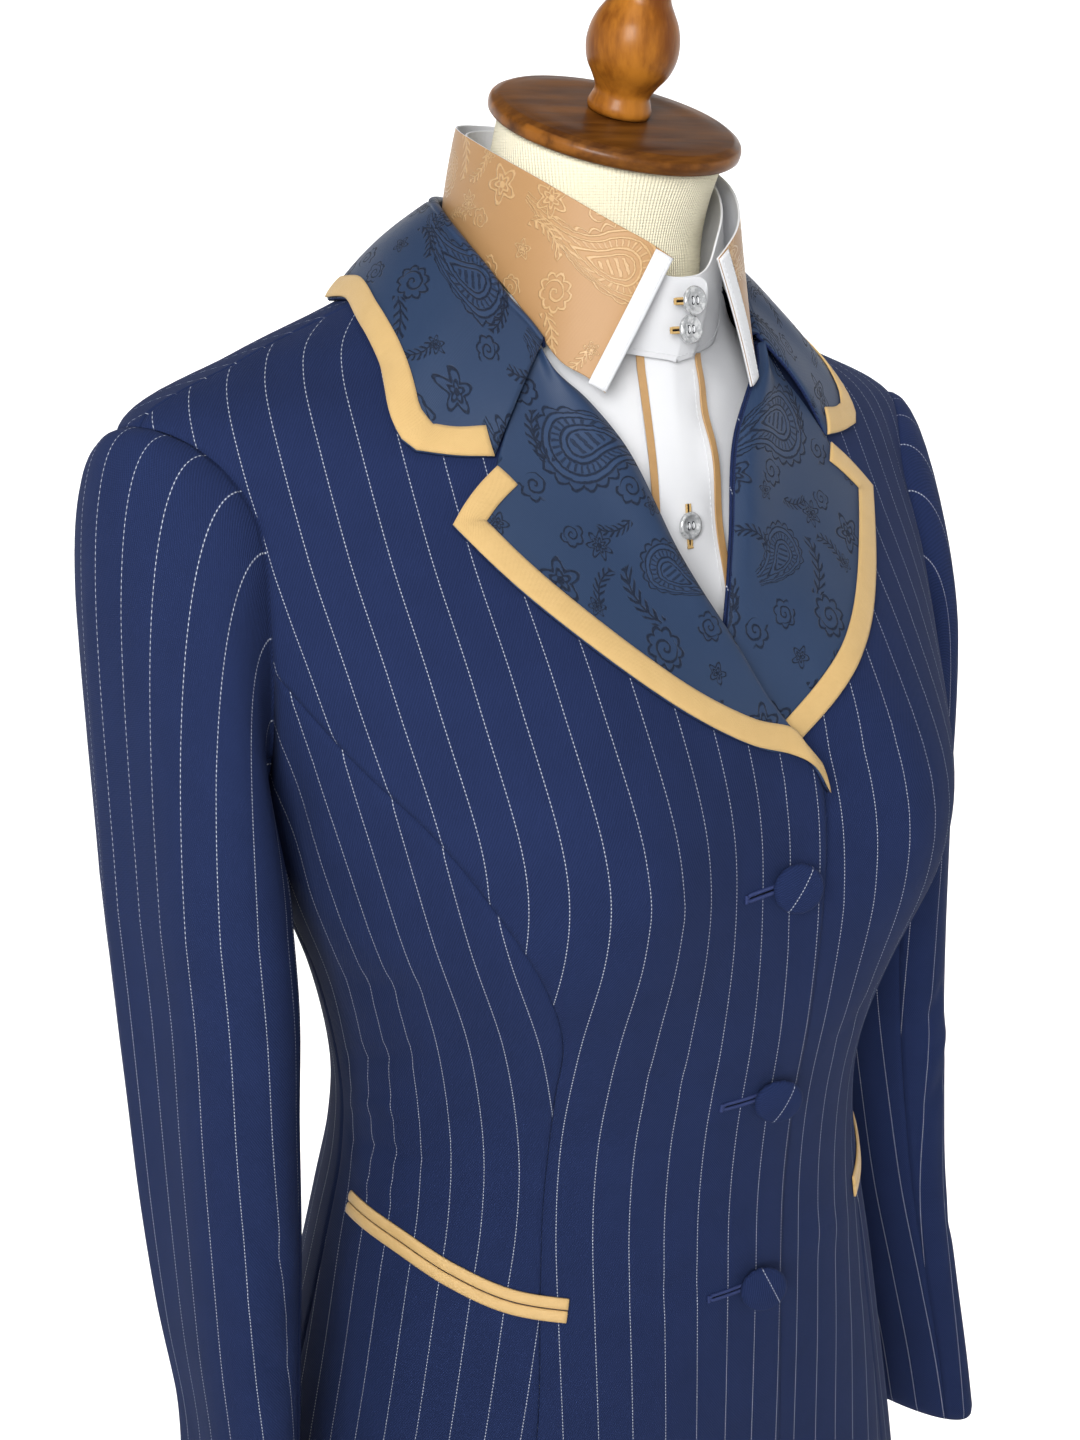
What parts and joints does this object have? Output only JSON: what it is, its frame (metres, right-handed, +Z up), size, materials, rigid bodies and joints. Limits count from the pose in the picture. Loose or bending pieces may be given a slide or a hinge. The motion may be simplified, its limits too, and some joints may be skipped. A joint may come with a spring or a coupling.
{
  "type": "showmanship suit on a dress form",
  "caption": "Fitted pinstripe jacket with bound notched lapels and collar, covered buttons and slanted jetted pockets, over a stand-collar show shirt, on a limbless dress form on a round base.",
  "frame": {"origin": "centre of the base's flat underside, on the floor", "axes": "+Z up; the front faces -Y; the wearer's right is on -X, the left on +X"},
  "size_m": [0.4768, 0.3276, 1.5756],
  "materials": {
    "navy_wool": "matte twill with pale pinstripes",
    "navy_satin": "satin jacquard",
    "gold_cloth": "matte",
    "gold_satin": "satin jacquard",
    "white_poplin": "matte",
    "grey_pearl": "gloss",
    "cream_jersey": "matte knit",
    "brown_wood": "varnished"
  },
  "bodies": {
    "root": {"back_left": "navy_wool", "back_right": "navy_wool", "base": "brown_wood", "button_1": "navy_wool", "button_2": "navy_wool", "button_3": "navy_wool", "collar": "navy_satin", "collar_binding": "gold_cloth", "collar_edge_left": "white_poplin", "collar_edge_right": "white_poplin", "finial": "brown_wood", "form_body": "cream_jersey", "front_left": "navy_wool", "front_right": "navy_wool", "lapel_binding_left": "gold_cloth", "lapel_binding_right": "gold_cloth", "lapel_left": "navy_satin", "lapel_right": "navy_satin", "neck_cap": "brown_wood", "piping_left": "gold_satin", "piping_right": "gold_satin", "placket": "white_poplin", "pocket_jet_lower_left": "gold_cloth", "pocket_jet_lower_right": "gold_cloth", "pocket_jet_upper_left": "gold_cloth", "pocket_jet_upper_right": "gold_cloth", "pole": "brown_wood", "shirt_back": "white_poplin", "shirt_button_1": "grey_pearl", "shirt_button_2": "grey_pearl", "shirt_button_3": "grey_pearl", "shirt_collar": "gold_satin", "shirt_front_left": "white_poplin", "shirt_front_right": "white_poplin", "shirt_stand": "white_poplin", "side_back_left": "navy_wool", "side_back_right": "navy_wool", "side_front_left": "navy_wool", "side_front_right": "navy_wool", "sleeve_top_left": "navy_wool", "sleeve_top_right": "navy_wool", "sleeve_under_left": "navy_wool", "sleeve_under_right": "navy_wool"}
  },
  "joints": []
}
